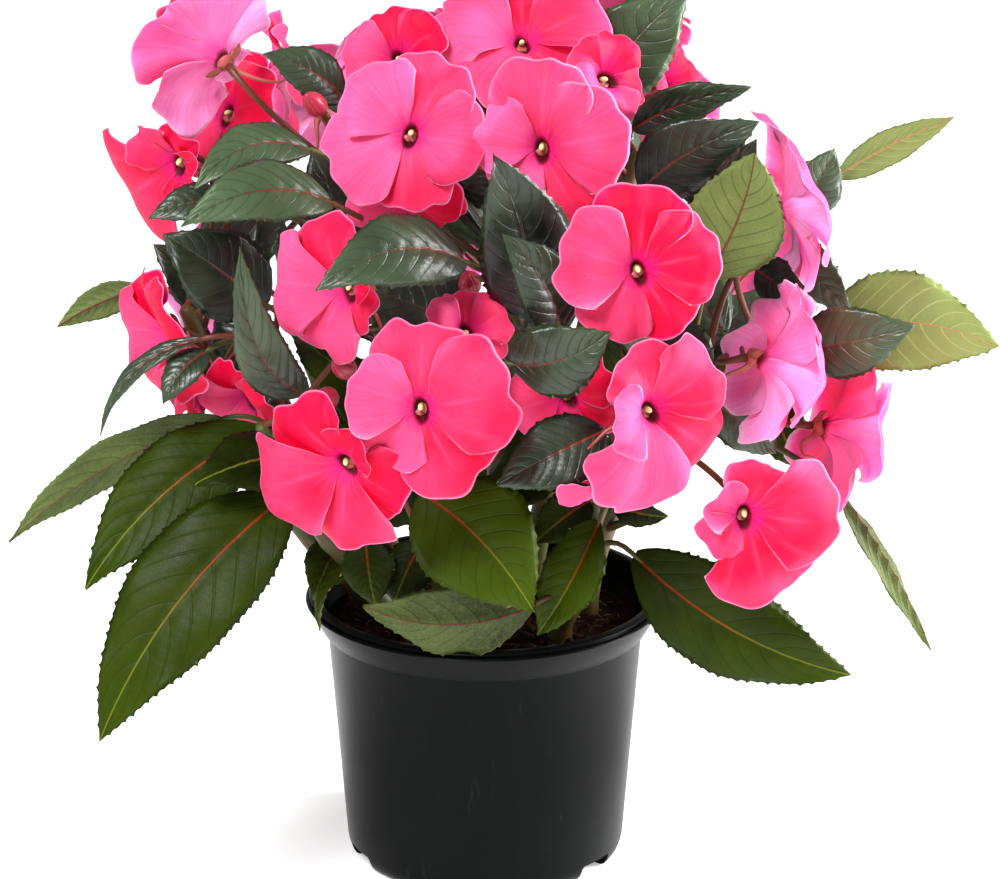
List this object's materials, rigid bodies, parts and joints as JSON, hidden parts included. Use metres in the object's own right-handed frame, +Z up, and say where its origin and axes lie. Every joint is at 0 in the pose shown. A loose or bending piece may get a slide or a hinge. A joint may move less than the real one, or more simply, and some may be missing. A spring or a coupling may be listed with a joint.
{
  "type": "potted new guinea impatiens",
  "caption": "Round dark nursery pot filled with peat, holding a bushy mound of pointed dark green leaves on fleshy stems, covered with flat round pink flowers; an ornamental bedding plant.",
  "frame": {"origin": "centre of the flat pad in the middle of the pot's underside, on the plane the pot stands on", "axes": "+Z up along the pot's axis; -Y is the front, the side the picture shows; +X is to the right in the picture"},
  "size_m": [0.3522, 0.283, 0.3324],
  "materials": {
    "pot": "satin",
    "soil": "matte",
    "leaf": "satin",
    "petal": "matte",
    "bud": "satin"
  },
  "bodies": {
    "root": {"pot": "pot", "soil": "soil", "leafy_stem_1": "leaf", "leafy_stem_2": "leaf", "leafy_stem_3": "leaf", "leafy_stem_4": "leaf", "leafy_stem_5": "leaf", "leafy_stem_6": "leaf", "leafy_stem_7": "leaf", "leafy_stem_8": "leaf", "leafy_stem_9": "leaf", "leafy_stem_10": "leaf", "leafy_stem_11": "leaf", "bloom_1": "petal", "bloom_2": "petal", "bloom_3": "petal", "bloom_4": "petal", "bloom_5": "petal", "bloom_6": "petal", "bloom_7": "petal", "bloom_8": "petal", "bloom_9": "petal", "bloom_10": "petal", "bloom_11": "petal", "bloom_12": "petal", "bloom_13": "petal", "bloom_14": "petal", "bloom_15": "petal", "bloom_16": "petal", "bloom_17": "petal", "bloom_18": "petal", "bloom_19": "petal", "bloom_20": "petal", "bloom_21": "petal", "bloom_22": "petal", "bloom_23": "petal", "bloom_24": "petal", "bloom_25": "petal", "bloom_26": "petal", "bloom_27": "petal", "bloom_28": "petal", "bloom_29": "petal", "bloom_30": "petal", "bloom_31": "petal", "bloom_32": "petal", "bloom_33": "petal", "bloom_34": "petal", "bud_1": "bud", "bud_2": "bud", "bud_3": "bud", "bud_4": "bud"}
  },
  "joints": []
}
